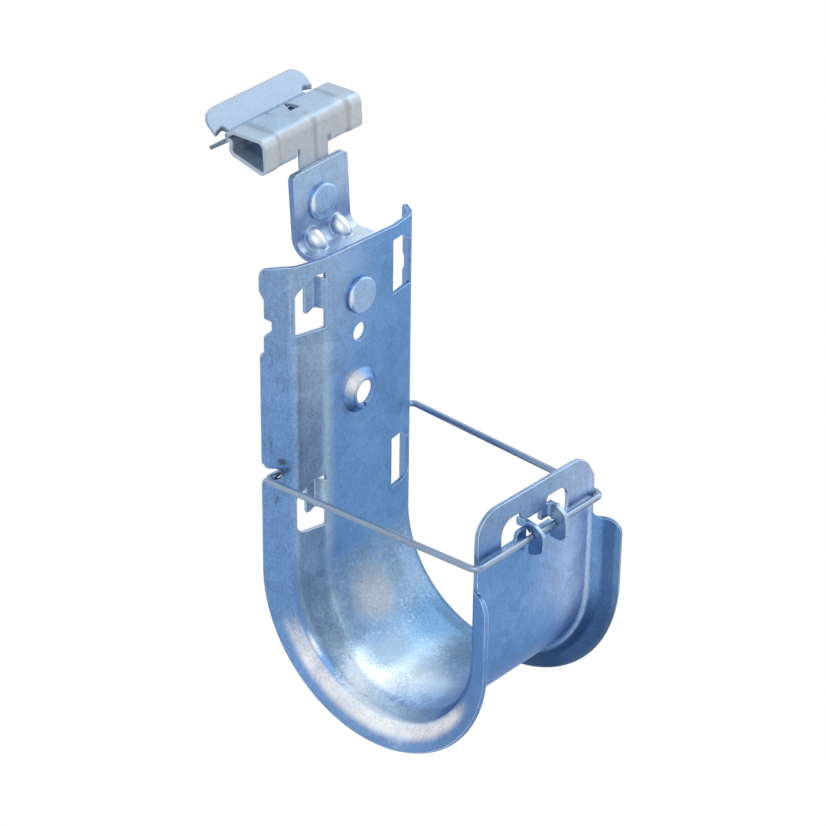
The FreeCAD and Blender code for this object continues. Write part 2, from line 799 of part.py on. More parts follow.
def main():
    """Build every node, move the origin to the jaw and write the solids."""
    os.makedirs("parts", exist_ok=True)
    leg_front = bracket_front()
    leg_back = leg_front + BRACKET_T
    tail_back = UPPER_LEG_FRONT + BRACKET_T + FACE_PLAY + CLIP_T
    lower = build_rivet(0, -FACE_PLAY - HEAD_T, -FACE_PLAY, leg_back)
    upper = build_rivet(UPPER_RIVET_Z, UPPER_LEG_FRONT - HEAD_T, UPPER_LEG_FRONT, tail_back + FACE_PLAY)
    nodes = {
        "j_hook": build_hook(),
        "angle_bracket": lean(build_bracket()),
        "lower_rivet": lean(lower),
        "upper_rivet": lean(upper),
        "flange_clip": lean(build_clip()),
        "wire_retainer": build_retainer(),
    }
    shift = jaw_origin() * -1
    for name, shape in nodes.items():
        moved = shape.copy()
        moved.translate(shift)
        solids = moved.Solids
        print(name, len(solids), "solid", moved.isValid(), round(moved.Volume, 1), "mm3")
        if len(solids) == 1:
            moved = solids[0]
        moved.exportStep("parts/" + name + ".step")


main()
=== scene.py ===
"""Cable j-hook under a spring flange clip: finishes, studio and camera."""

import json
import logging
import math
from dataclasses import dataclass
from enum import Enum
from functools import cached_property
from typing import Any, ClassVar, Sequence

import bpy
from mathutils import Matrix, Vector

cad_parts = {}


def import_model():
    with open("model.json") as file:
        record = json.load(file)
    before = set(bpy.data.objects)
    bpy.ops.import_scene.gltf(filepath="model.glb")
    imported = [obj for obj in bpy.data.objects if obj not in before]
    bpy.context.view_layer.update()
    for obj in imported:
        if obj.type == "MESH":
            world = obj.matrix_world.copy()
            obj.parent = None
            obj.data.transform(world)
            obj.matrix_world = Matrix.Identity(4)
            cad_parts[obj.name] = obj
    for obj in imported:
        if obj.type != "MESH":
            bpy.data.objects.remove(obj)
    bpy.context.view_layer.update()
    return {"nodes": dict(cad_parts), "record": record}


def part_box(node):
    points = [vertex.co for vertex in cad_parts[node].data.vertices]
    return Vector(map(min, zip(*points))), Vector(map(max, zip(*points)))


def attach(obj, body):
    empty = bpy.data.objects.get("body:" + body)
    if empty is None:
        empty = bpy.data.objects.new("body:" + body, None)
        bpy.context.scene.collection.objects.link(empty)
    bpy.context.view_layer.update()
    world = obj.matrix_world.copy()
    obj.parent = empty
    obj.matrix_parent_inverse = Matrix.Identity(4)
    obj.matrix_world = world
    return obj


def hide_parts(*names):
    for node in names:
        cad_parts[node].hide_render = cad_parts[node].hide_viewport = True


LOG = logging.getLogger("j_hook")
Pair = tuple[float, float]
Triple = tuple[float, float, float]
Colour = Triple
Values = dict[int | str, Any]
WHITE: Colour = (1.0, 1.0, 1.0)
MM = 0.001

# The frame's origin, in the clip's jaw, seen from the centre of the hook's bowl, in metres
JAW_FROM_HOOK = Vector((-0.002645795, 0.0235, 0.104409918))

# The clip leans out of the hook's upright about a point at this height, in millimetres
CLIP_LEAN = math.tan(math.radians(3.9))
PIVOT_HEIGHT = 65.6

# How far the line between the clip's two lips falls for each millimetre to the rear
JAW_FALL = 0.616


class Signal:
    """A value that flows through a node tree and can be used in Python expressions."""

    def __init__(self, sheet: "NodeSheet", socket: bpy.types.NodeSocket) -> None:
        """Keep the output socket and the sheet that it belongs to."""
        self.sheet = sheet
        self.socket = socket

    def _combined(self, operation: str, first: Any, second: Any) -> "Signal":
        """Join two values with one Math node."""
        return self.sheet.signal("ShaderNodeMath", {"operation": operation}, {0: first, 1: second})

    def __add__(self, other: Any) -> "Signal":
        """Sum."""
        return self._combined("ADD", self, other)

    def __radd__(self, other: Any) -> "Signal":
        """Sum with the number on the left."""
        return self._combined("ADD", other, self)

    def __sub__(self, other: Any) -> "Signal":
        """Difference."""
        return self._combined("SUBTRACT", self, other)

    def __rsub__(self, other: Any) -> "Signal":
        """Difference with the number on the left."""
        return self._combined("SUBTRACT", other, self)

    def __mul__(self, other: Any) -> "Signal":
        """Product."""
        return self._combined("MULTIPLY", self, other)

    def __rmul__(self, other: Any) -> "Signal":
        """Product with the number on the left."""
        return self._combined("MULTIPLY", other, self)

    def at_least(self, other: Any) -> "Signal":
        """The larger of two values."""
        return self._combined("MAXIMUM", self, other)

    def size(self) -> "Signal":
        """The value without its sign."""
        return self._combined("ABSOLUTE", self, 0.0)

    def step(self, start: float, end: float, least: float = 0.0, most: float = 1.0) -> "Signal":
        """Go smoothly from one result to another, and hold each of them outside the step.

        Args:
            start: Value that gives the least.
            end: Value that gives the most, above or below start.
            least: Result at start.
            most: Result at end.

        Returns:
            The eased result.
        """
        settings = {"interpolation_type": "SMOOTHSTEP", "clamp": True}
        values = {"Value": self, "From Min": start, "From Max": end, "To Min": least, "To Max": most}
        return self.sheet.signal("ShaderNodeMapRange", settings, values, "Result")


class NodeSheet:
    """A node tree built by expressions."""

    def __init__(self, tree: bpy.types.NodeTree) -> None:
        """Empty the tree that the nodes go into."""
        self.tree = tree
        self.tree.nodes.clear()

    def node(
        self, kind: str, settings: dict[str, Any] | None = None, values: Values | None = None
    ) -> bpy.types.Node:
        """Add one node.

        Args:
            kind: Blender's name for the node's type.
            settings: Attributes set first; "stops" fills a colour ramp.
            values: Numbers, colours or signals for the node's inputs, by name or index.

        Returns:
            The new node.
        """
        node = self.tree.nodes.new(kind)
        for key, value in (settings or {}).items():
            if key == "stops":
                ramp = node.color_ramp.elements
                while len(ramp) < len(value):
                    ramp.new(0.5)
                for element, (position, colour) in zip(ramp, value):
                    element.position = position
                    element.color = (*colour, 1.0)
            else:
                setattr(node, key, value)
        for key, value in (values or {}).items():
            if isinstance(value, Signal):
                self.tree.links.new(value.socket, node.inputs[key])
            elif isinstance(value, tuple) and len(value) == 3 and node.inputs[key].type == "RGBA":
                node.inputs[key].default_value = (*value, 1.0)
            else:
                node.inputs[key].default_value = value
        return node

    def signal(
        self,
        kind: str,
        settings: dict[str, Any] | None = None,
        values: Values | None = None,
        output: int | str = 0,
    ) -> Signal:
        """Add one node and take one of its outputs."""
        return Signal(self, self.node(kind, settings, values).outputs[output])

    def split(self, vector: Signal) -> tuple[Signal, Signal, Signal]:
        """The X, Y and Z parts of a vector."""
        outputs = self.node("ShaderNodeSeparateXYZ", None, {0: vector}).outputs
        return tuple(Signal(self, output) for output in outputs)

    def mixed(self, share: Signal, first: Signal, second: Signal) -> Signal:
        """Mix two shaders by the share of the second."""
        return self.signal("ShaderNodeMixShader", None, {0: share, 1: first, 2: second})


class FinishSheet(NodeSheet):
    """Node tree of one material."""

    EDGE_SAMPLES: ClassVar[int] = 8
    ROUNDING_SAMPLES: ClassVar[int] = 6

    def __init__(self, name: str) -> None:
        """Start an empty material of this name."""
        self.material = bpy.data.materials.new(name)
        self.material.use_nodes = True
        super().__init__(self.material.node_tree)

    @cached_property
    def place(self) -> Signal:
        """Object coordinates, in metres."""
        return self.signal("ShaderNodeTexCoord", output="Object")

    def vector(self, operation: str, values: Values, output: int | str = 0) -> Signal:
        """Work on a vector or a colour with one Vector Math node."""
        return self.signal("ShaderNodeVectorMath", {"operation": operation}, values, output)

    def stretched(self, scale: Triple) -> Signal:
        """Object coordinates times a factor along each axis."""
        return self.signal("ShaderNodeMapping", None, {"Vector": self.place, "Scale": scale})

    def noise(self, scale: float, detail: float, rough: float, along: Signal | None = None) -> Signal:
        """Cloudy noise between 0 and 1.

        Args:
            scale: Repeats per metre.
            detail: Octaves of finer noise.
            rough: Strength of each finer octave.
            along: Coordinates, or none for the object's own.

        Returns:
            The noise value.
        """
        values = {"Vector": along or self.place, "Scale": scale, "Detail": detail, "Roughness": rough}
        return self.signal("ShaderNodeTexNoise", None, values)

    def crystals(self, scale: float) -> Signal:
        """A random value for each zinc crystal, at so many crystals per metre."""
        cell = self.signal("ShaderNodeTexVoronoi", None, {"Vector": self.place, "Scale": scale}, "Color")
        return self.signal("ShaderNodeSeparateColor", None, {0: cell})

    def hook_axes(self) -> tuple[Signal, Signal, Signal]:
        """Millimetres to the right of, behind and above the centre of the bowl."""
        parts = zip(self.split(self.place), JAW_FROM_HOOK)
        return tuple(part * (1.0 / MM) + shift / MM for part, shift in parts)

    def facing(self) -> tuple[Signal, Signal, Signal]:
        """How far the surface faces right, to the rear and up."""
        return self.split(self.signal("ShaderNodeTexCoord", output="Normal"))

    def away_from(self, spot: Triple, reach: Triple) -> Signal:
        """Distance from a spot on the hook, as a share of a reach along each axis.

        Args:
            spot: The spot in millimetres on the hook's axes.
            reach: The reach along each axis in millimetres.

        Returns:
            The share: 0 at the spot, 1 at its reach.
        """
        centre = Vector(spot) * MM - JAW_FROM_HOOK
        offset = self.vector("SUBTRACT", {0: self.place, 1: tuple(centre)})
        share = self.vector("MULTIPLY", {0: offset, 1: tuple(1.0 / (MM * value) for value in reach)})
        return self.vector("LENGTH", {0: share}, "Value")

    def rounded(self, radius: float, samples: int) -> Signal:
        """The surface's direction, with edges softened over a radius in metres."""
        return self.signal("ShaderNodeBevel", {"samples": samples}, {"Radius": radius})

    def edges(self, radius: float) -> Signal:
        """How near a cut edge or a sharp bend is.

        Args:
            radius: Reach from the edge in metres.

        Returns:
            A value that rises from 0 on open faces towards 1 at an edge.
        """
        plain = self.signal("ShaderNodeNewGeometry", output="Normal")
        values = {0: self.rounded(radius, self.EDGE_SAMPLES), 1: plain}
        return 1.0 - self.vector("DOT_PRODUCT", values, "Value")

    def blend(self, share: Signal, first: Any, second: Any, label: str) -> Signal:
        """Mix two colours.

        Args:
            share: Share of the second colour.
            first: Colour where the share is 0.
            second: Colour where the share is 1.
            label: What the node is called in the node editor.

        Returns:
            The mixed colour.
        """
        settings = {"data_type": "RGBA", "label": label}
        return self.signal("ShaderNodeMix", settings, {0: share, 6: first, 7: second}, 2)

    def finish(self, values: Values, relief: Signal, depth: float, edge: float) -> bpy.types.Material:
        """Close the sheet with a metal shader.

        Args:
            values: Inputs of the shader.
            relief: Height pattern.
            depth: Height of the pattern in metres.
            edge: Radius that softens the edges' shading, in metres.

        Returns:
            The finished material.
        """
        soft = self.rounded(edge, self.ROUNDING_SAMPLES)
        height = {"Strength": 1.0, "Distance": depth, "Height": relief, "Normal": soft}
        bump = self.signal("ShaderNodeBump", None, height)
        surface = self.signal("ShaderNodeBsdfPrincipled", None, {**values, "Normal": bump})
        self.node("ShaderNodeOutputMaterial", None, {"Surface": surface})
        return self.material


class Measure(Enum):
    """What a fade is measured along, named as in the survey."""

    ACROSS = "across"
    SIDE = "side"
    DEPTH = "depth"
    HEIGHT = "height"
    CLIP_ACROSS = "clip_across"
    CLIP_SIDE = "clip_side"
    JAW_HEIGHT = "jaw_height"
    FACING_RIGHT = "facing_right"
    FACING_REAR = "facing_rear"
    FACING_UP = "facing_up"
    CLOUD = "cloud"
    BOWL_MOTTLE = "bowl_mottle"
    CLIP_MOTTLE = "clip_mottle"
    STREAKS = "streaks"
    SCUFFS = "scuffs"


@dataclass(frozen=True)
class Fade:
    """A smooth change along one measure, from the least at start to the most at end.

    Ragged says how much of the survey's ragged edge is added to the measure.
    """

    measure: Measure
    start: float
    end: float
    ragged: float = 0.0
    least: float = 0.0
    most: float = 1.0


@dataclass(frozen=True)
class Zone:
    """A part of a piece with its own colour: where all fades meet, and one of either if it is given."""

    name: str
    colour: Colour
    strength: float
    fades: tuple[Fade, ...]
    either: tuple[Fade, Fade] | None = None


@dataclass(frozen=True)
class Patch:
    """A soft-edged spot of its own colour, placed in millimetres on the hook's axes."""

    name: str
    spot: Triple
    reach: Triple
    colour: Colour
    strength: float
    ragged: float = 0.5


@dataclass(frozen=True)
class Weights:
    """How far each pattern pushes a value up or down."""

    cloud: float = 0.0
    speck: float = 0.0
    grain: float = 0.0
    crystal: float = 0.0


class Survey:
    """Where a point of a piece lies, which way it faces and the patterns that cross it there."""

    RAGGED: ClassVar[Weights] = Weights(cloud=6.0, speck=2.0)
    SPOT_RAGGED: ClassVar[Weights] = Weights(cloud=1.0, speck=1.0)
    SPOT_RIM: ClassVar[Pair] = (1.0, 0.25)

    def __init__(self, sheet: FinishSheet, crystal_scale: float) -> None:
        """Start with nothing measured.

        Args:
            sheet: The finish under construction.
            crystal_scale: Zinc crystals per metre.
        """
        self.sheet = sheet
        self.crystal_scale = crystal_scale
        self.known: dict[Fade, Signal] = {}

    @cached_property
    def axes(self) -> tuple[Signal, Signal, Signal]:
        """Millimetres to the right of, behind and above the centre of the bowl."""
        return self.sheet.hook_axes()

    @property
    def across(self) -> Signal:
        """Millimetres to the right of the hook's middle."""
        return self.axes[0]

    @property
    def depth(self) -> Signal:
        """Millimetres behind the centre of the bowl."""
        return self.axes[1]

    @property
    def height(self) -> Signal:
        """Millimetres above the centre of the bowl."""
        return self.axes[2]

    @cached_property
    def side(self) -> Signal:
        """Millimetres to either side of the hook's middle."""
        return self.across.size()

    @cached_property
    def clip_across(self) -> Signal:
        """Millimetres to the right of the leaning clip's middle."""
        return self.across + (self.height - PIVOT_HEIGHT) * CLIP_LEAN

    @cached_property
    def clip_side(self) -> Signal:
        """Millimetres to either side of the clip's middle."""
        return self.clip_across.size()

    @cached_property
    def jaw_height(self) -> Signal:
        """A height that is the same all along the line between the clip's lips."""
        return self.height + self.depth * JAW_FALL

    @cached_property
    def facing(self) -> tuple[Signal, Signal, Signal]:
        """How far the surface faces right, to the rear and up."""
        return self.sheet.facing()

    @property
    def facing_right(self) -> Signal:
        """How far the surface faces right."""
        return self.facing[0]

    @property
    def facing_rear(self) -> Signal:
        """How far the surface faces the rear."""
        return self.facing[1]

    @property
    def facing_up(self) -> Signal:
        """How far the surface faces up."""
        return self.facing[2]

    @cached_property
    def cloud(self) -> Signal:
        """Broad clouds of the zinc."""
        return self.sheet.noise(scale=60.0, detail=4.0, rough=0.62)

    @cached_property
    def speck(self) -> Signal:
        """Fine specks of the zinc."""
        return self.sheet.noise(scale=1700.0, detail=3.0, rough=0.7)

    @cached_property
    def grain(self) -> Signal:
        """Upright grain from the rolling of the sheet."""
        along = self.sheet.stretched((2600.0, 2600.0, 420.0))
        return self.sheet.noise(scale=1.0, detail=3.0, rough=0.62, along=along)

    @cached_property
    def crystal(self) -> Signal:
        """Zinc crystals."""
        return self.sheet.crystals(self.crystal_scale)

    @cached_property
    def bowl_mottle(self) -> Signal:
        """Small speckles of the bowl."""
        return self.sheet.noise(scale=800.0, detail=3.0, rough=0.7)

    @cached_property
    def clip_mottle(self) -> Signal:
        """Larger speckles of the clip's coating."""
        return self.sheet.noise(scale=260.0, detail=4.0, rough=0.7)

    @cached_property
    def streaks(self) -> Signal:
        """Upright streaks of the tongue."""
        along = self.sheet.stretched((700.0, 700.0, 60.0))
        return self.sheet.noise(scale=1.0, detail=3.0, rough=0.6, along=along)

    @cached_property
    def scuffs(self) -> Signal:
        """Scuffs of the rivet heads."""
        return self.sheet.noise(scale=420.0, detail=4.0, rough=0.7)

    @cached_property
    def ragged(self) -> Signal:
        """Millimetres by which a ragged zone's edge wanders."""
        return self.pushed(self.RAGGED)

    def pushed(self, weights: Weights) -> Signal:
        """Add up the patterns, each about its middle and by its weight."""
        used = [(name, weight) for name, weight in vars(weights).items() if weight]
        first, *rest = [(getattr(self, name) - 0.5) * weight for name, weight in used]
        return sum(rest, first)

    def fade(self, fade: Fade) -> Signal:
        """One fade, made once however often it is used.

        Args:
            fade: What it is measured along, and from where to where.

        Returns:
            The share of the fade.
        """
        if fade not in self.known:
            value = getattr(self, fade.measure.value)
            if fade.ragged:
                value = value + self.ragged * fade.ragged
            self.known[fade] = value.step(fade.start, fade.end, fade.least, fade.most)
        return self.known[fade]

    def zone(self, zone: Zone) -> Signal:
        """How much of a zone's colour there is.

        Args:
            zone: The zone.

        Returns:
            The share of its colour.
        """
        share = self.fade(zone.fades[0])
        for fade in zone.fades[1:]:
            share = share * self.fade(fade)
        if zone.either:
            first, second = (self.fade(fade) for fade in zone.either)
            share = share * first.at_least(second)
        return share * zone.strength

    def patch(self, patch: Patch) -> Signal:
        """How much of a patch's colour there is.

        Args:
            patch: The patch.

        Returns:
            The share of its colour.
        """
        away = self.sheet.away_from(patch.spot, patch.reach)
        away = away + self.pushed(self.SPOT_RAGGED) * patch.ragged
        return away.step(*self.SPOT_RIM) * patch.strength


@dataclass(frozen=True)
class ZincFinish:
    """Zinc-coated steel with crystals, rolling grain, clouding, and bright edges that are partly wear and
    partly a painted highlight.

    The relief and the softness of the edges are in millimetres, the crystals per metre. The glance
    tints what the metal mirrors at a flat angle.
    """

    SHADE: ClassVar[Weights] = Weights(speck=0.9, grain=0.5, crystal=0.16)
    ROUGHNESS: ClassVar[Weights] = Weights(cloud=0.16, speck=0.2, crystal=0.06)
    RELIEF: ClassVar[Weights] = Weights(speck=0.6, grain=0.6, crystal=0.1)
    # Where edges are lightened: partly wear, partly a painted highlight along every rim
    WEAR_AND_GLINT_REACH: ClassVar[float] = 0.5
    WEAR_AND_GLINT_STEP: ClassVar[Pair] = (0.02, 0.2)
    WEAR_AND_GLINT_CLOUD: ClassVar[Fade] = Fade(Measure.CLOUD, 0.38, 0.6, least=0.3, most=0.95)

    name: str
    tone: Colour
    dull: Colour
    bright: Colour
    metallic: float
    rough: float
    crystal_scale: float
    relief: float
    contrast: float = 1.0
    # Colour of the lightened edges, partly wear and partly a painted highlight
    edge: Colour = (0.72, 0.78, 0.84)
    wear_and_glint: float = 0.85
    soft: float = 0.3
    glance: Colour = WHITE

    def zones(self) -> tuple[Zone, ...]:
        """Clouds of the zinc, which a finish's own zones follow."""
        return (
            Zone("bright clouds", self.bright, 0.6, (Fade(Measure.CLOUD, 0.46, 0.78),)),
            Zone("dull clouds", self.dull, 0.3, (Fade(Measure.CLOUD, 0.5, 0.24),)),
        )

    def patches(self) -> tuple[Patch, ...]:
        """Spots of the finish, laid over its zones."""
        return ()

    def build(self) -> bpy.types.Material:
        """Make the material.

        Returns:
            The finished material.
        """
        sheet = FinishSheet(self.name)
        survey = Survey(sheet, self.crystal_scale)
        colour = self.tone
        for zone in self.zones():
            colour = sheet.blend(survey.zone(zone), colour, zone.colour, zone.name)
        for patch in self.patches():
            colour = sheet.blend(survey.patch(patch), colour, patch.colour, patch.name)
        shade = 1.0 + survey.pushed(self.SHADE) * self.contrast
        colour = sheet.vector("SCALE", {0: colour, "Scale": shade})
        # Lighten the edges: partly wear, partly a painted highlight along the rims
        wear_and_glint = sheet.edges(self.WEAR_AND_GLINT_REACH * MM).step(*self.WEAR_AND_GLINT_STEP) * survey.fade(self.WEAR_AND_GLINT_CLOUD)
        values = {
            "Base Color": sheet.blend(wear_and_glint * self.wear_and_glint, colour, self.edge, "worn edges"),
            "Metallic": self.metallic,
            "Roughness": self.rough + survey.pushed(self.ROUGHNESS),
            "Specular Tint": self.glance,
        }
        return sheet.finish(values, survey.pushed(self.RELIEF), self.relief * MM, self.soft * MM)


@dataclass(frozen=True)
class HookSheet(ZincFinish):
    """Galvanised sheet with painted light: paler at the top, painted highlights and shade in its folds, a
    mottled painted sheen in the bowl.
    """

    PLATE: ClassVar[Fade] = Fade(Measure.DEPTH, -9.0, -3.0)
    TONGUE: ClassVar[Fade] = Fade(Measure.DEPTH, -40.0, -50.0)
    WING: ClassVar[Fade] = Fade(Measure.DEPTH, -40.0, -48.0)
    FLAT: ClassVar[Fade] = Fade(Measure.SIDE, 20.6, 19.8)
    SMUDGE: ClassVar[Colour] = (0.04, 0.045, 0.055)
    # Teal of the painted reflection where the plate turns into the bowl
    TEAL: ClassVar[Colour] = (0.2, 0.31, 0.42)

    name: str = "galvanised sheet"
    tone: Colour = (0.136, 0.281, 0.548)
    dull: Colour = (0.07, 0.155, 0.33)
    bright: Colour = (0.2, 0.33, 0.56)
    metallic: float = 0.94
    rough: float = 0.37
    crystal_scale: float = 300.0
    relief: float = 0.02
    glance: Colour = (0.62, 0.74, 0.93)

    def zones(self) -> tuple[Zone, ...]:
        """Zones of the whole sheet, in the order in which they are laid."""
        front = (*self.tongue(), *self.wings())
        return (*super().zones(), *self.plate(), *self.bowl(), *front, *self.flange())

    def plate(self) -> tuple[Zone, ...]:
        """Painted light and shade on the back plate."""
        return (
            # Painted light: the plate paler towards its top and its left
            Zone("pale top", (0.32, 0.44, 0.62), 0.75, (
                self.PLATE, Fade(Measure.HEIGHT, 34.0, 80.0, 1.0), Fade(Measure.ACROSS, 11.0, -12.0, 1.0),
            )),
            # Painted reflection: a paler strip down the left side of the plate
            Zone("pale strip on the left", (0.44, 0.56, 0.65), 0.85, (
                Fade(Measure.ACROSS, -7.5, -13.5, 0.5), Fade(Measure.ACROSS, -21.0, -18.0),
                Fade(Measure.HEIGHT, 66.0, 54.0, 1.0), Fade(Measure.HEIGHT, -24.0, -10.0, 1.0),
                Fade(Measure.DEPTH, -20.0, -6.0),
            )),
            Zone("shade on the right", (0.08, 0.175, 0.38), 0.25, (
                self.PLATE, Fade(Measure.ACROSS, 6.0, 12.0, 1.0), Fade(Measure.HEIGHT, 60.0, 46.0),
            )),
        )

    def bowl(self) -> tuple[Zone, ...]:
        """Painted highlight on the bowl's inner face, where it faces up."""
        inner = (
            Fade(Measure.FACING_UP, -0.05, 0.12), Fade(Measure.HEIGHT, 7.0, -8.0),
            Fade(Measure.SIDE, 20.6, 19.4),
        )
        return (
            # Painted highlight on the inner faces that face up, with a mottle that is partly the zinc's own
            # speckle
            Zone("bowl", (0.19, 0.3, 0.43), 0.7, inner),
            Zone("mottled bowl", (0.42, 0.54, 0.64), 0.4, (*inner, Fade(Measure.BOWL_MOTTLE, 0.5, 0.68))),
        )

    def tongue(self) -> tuple[Zone, ...]:
        """Zones of the tongue, from all of it to its two latch tabs."""
        return (
            Zone("tongue", (0.09, 0.25, 0.56), 0.2, (self.TONGUE,)),
            # Painted shade: the tongue darker towards its foot
            Zone("dark foot", (0.06, 0.145, 0.35), 0.7, (self.TONGUE, Fade(Measure.HEIGHT, 6.0, -16.0))),
            # Painted light: the flat of the tongue paler towards its upper right
            Zone("pale flat", (0.34, 0.47, 0.7), 0.8, (
                self.TONGUE, self.FLAT, Fade(Measure.HEIGHT, -8.0, 8.0, 1.0),
                Fade(Measure.ACROSS, -8.0, 14.0, 1.0),
            )),
            # Painted highlight: a brighter patch on the right of the flat
            Zone("brighter right", (0.48, 0.62, 0.9), 0.65, (
                self.TONGUE, self.FLAT, Fade(Measure.HEIGHT, -12.0, 4.0),
                Fade(Measure.ACROSS, 5.0, 16.0, 0.5),
            )),
            Zone("grey tip", (0.27, 0.36, 0.5), 0.55, (self.TONGUE, Fade(Measure.HEIGHT, 22.0, 33.0, 1.0))),
            Zone("streaks", (0.3, 0.42, 0.6), 0.08, (self.TONGUE, Fade(Measure.STREAKS, 0.5, 0.8))),
            Zone("latch tabs", (0.34, 0.46, 0.58), 0.6, (
                Fade(Measure.DEPTH, -52.7, -53.3), Fade(Measure.HEIGHT, 16.5, 17.5),
                Fade(Measure.SIDE, 12.0, 9.0),
            )),
        )

    def wings(self) -> tuple[Zone, ...]:
        """Painted shade and highlights on the front wings and on the folds that lead to them."""
        return (
            # Painted shade: faces on the right that face down, nearly black
            Zone("turned under", (0.012, 0.04, 0.11), 0.95, (
                Fade(Measure.FACING_UP, 0.1, -0.1), Fade(Measure.DEPTH, -10.0, -24.0),
                Fade(Measure.ACROSS, 20.3, 20.9), Fade(Measure.HEIGHT, 8.0, -14.0),
            )),
            # Painted reflection: a dark band along the right wing
            Zone("right wing", (0.045, 0.105, 0.25), 0.8, (
                self.WING, Fade(Measure.ACROSS, 21.7, 22.2), Fade(Measure.ACROSS, 23.6, 23.0),
            )),
            # Painted reflection: a lighter band on the lip of the right wing
            Zone("lip of the right wing", (0.1, 0.18, 0.3), 0.55, (
                self.WING, Fade(Measure.ACROSS, 23.1, 23.6),
            )),
            # Painted highlight: a light line along the folds at the sides of the tongue
            Zone("line along the fold", (0.4, 0.45, 0.52), 0.5, (
                self.TONGUE, Fade(Measure.HEIGHT, 20.0, 16.0), Fade(Measure.SIDE, 19.5, 20.0),
                Fade(Measure.SIDE, 20.6, 20.1),
            )),
            # Painted shade: a dark line along the folds round the bowl
            Zone("fold of the bowl", self.dull, 0.6, (
                Fade(Measure.SIDE, 18.2, 19.8), Fade(Measure.SIDE, 21.4, 20.2),
                Fade(Measure.HEIGHT, 6.0, -4.0), Fade(Measure.DEPTH, -48.0, -40.0),
            )),
        )

    def flange(self) -> tuple[Zone, ...]:
        """Zones of the left flange, along the plate and round the bowl."""
        return (
            Zone(
                "left flange", (0.145, 0.26, 0.48), 0.6, (Fade(Measure.ACROSS, -20.4, -21.2),),
                either=(self.PLATE, Fade(Measure.HEIGHT, 4.0, -4.0)),
            ),
            # Painted highlight: a pale grey band along the lower left rim of the bowl
            Zone("burnished rim", (0.74, 0.73, 0.75), 1.0, (
                Fade(Measure.ACROSS, -20.8, -21.4), Fade(Measure.ACROSS, -23.9, -22.6),
                Fade(Measure.HEIGHT, -9.0, -17.0), Fade(Measure.CLOUD, 0.3, 0.6, least=0.5, most=0.95),
            )),
        )

    def patches(self) -> tuple[Patch, ...]:
        """Painted glints, sheens, highlights and shade, and stains, from the plate down to the bowl."""
        return (
            Patch("boss glint", (-2.6, -1.0, 44.0), (4.2, 4.0, 4.2), (0.62, 0.63, 0.63), 0.85, 0.4),
            Patch("boss shade", (-4.2, -0.8, 37.8), (2.6, 3.0, 2.8), (0.08, 0.12, 0.2), 0.6, 0.4),
            # Painted light and shade where the plate turns into the bowl: pale, dim, warm and teal
            Patch("pale foot", (-15.5, -3.5, -9.0), (5.5, 9.0, 21.0), (0.42, 0.55, 0.63), 0.8, 0.8),
            Patch("dim foot", (-7.5, -6.0, -14.5), (7.0, 6.0, 8.0), (0.12, 0.2, 0.3), 0.45, 0.9),
            Patch("warm foot", (1.0, -4.2, -13.0), (9.0, 7.0, 11.0), (0.36, 0.39, 0.43), 0.7, 1.1),
            Patch("teal foot", (13.0, -5.0, -13.0), (9.0, 6.0, 12.0), self.TEAL, 0.6, 0.9),
            Patch("teal bend", (2.0, -13.0, -21.5), (14.0, 4.5, 4.0), self.TEAL, 0.5, 0.9),
            Patch("sheen", (-13.0, -27.0, -25.0), (17.0, 22.0, 10.0), (0.78, 0.9, 0.97), 0.85, 0.9),
            Patch("sheen ahead", (-16.0, -38.0, -20.0), (9.0, 12.0, 11.0), (0.46, 0.6, 0.72), 0.8, 0.9),
            Patch("sheen behind", (-15.0, -18.0, -23.4), (10.0, 9.0, 8.0), (0.66, 0.77, 0.86), 0.8, 0.9),
            # Painted shade in the bend of the bowl, in the middle and on the right
            Patch("dark bend", (-5.0, -14.5, -21.6), (9.0, 6.0, 6.0), (0.19, 0.28, 0.38), 0.9, 0.9),
            Patch("right bend", (13.5, -13.5, -21.0), (12.0, 10.0, 9.0), (0.08, 0.19, 0.34), 0.8, 0.9),
            # Painted highlight: a warm bright streak on the fold at the left
            Patch("bare edge", (-20.6, -5.5, -14.0), (0.8, 4.0, 6.5), (0.86, 0.82, 0.76), 0.75, 0.5),
            # Painted highlight in the middle of the bowl, and painted shade on its right
            Patch("mid bowl", (2.0, -20.5, -24.2), (13.0, 6.0, 6.0), (0.42, 0.56, 0.69), 0.5, 0.9),
            Patch("right bowl", (13.0, -27.0, -24.0), (14.0, 14.0, 9.0), (0.1, 0.19, 0.32), 0.75, 0.9),
            Patch("smudge", (-21.9, 4.3, 29.6), (1.4, 1.6, 1.3), self.SMUDGE, 0.75, 1.2),
            Patch("smudge below", (-22.0, 4.4, 26.9), (1.5, 1.7, 1.4), self.SMUDGE, 0.7, 1.2),
            Patch("smudge beside", (-21.0, 3.4, 27.4), (1.0, 1.2, 1.0), self.SMUDGE, 0.6, 1.2),
            Patch("low smudge", (-22.6, 5.3, 19.5), (0.9, 1.2, 1.6), self.SMUDGE, 0.4, 1.0),
            Patch("high smudge", (-23.4, 6.2, 34.0), (0.5, 1.0, 3.6), self.SMUDGE, 0.35, 0.8),
        )


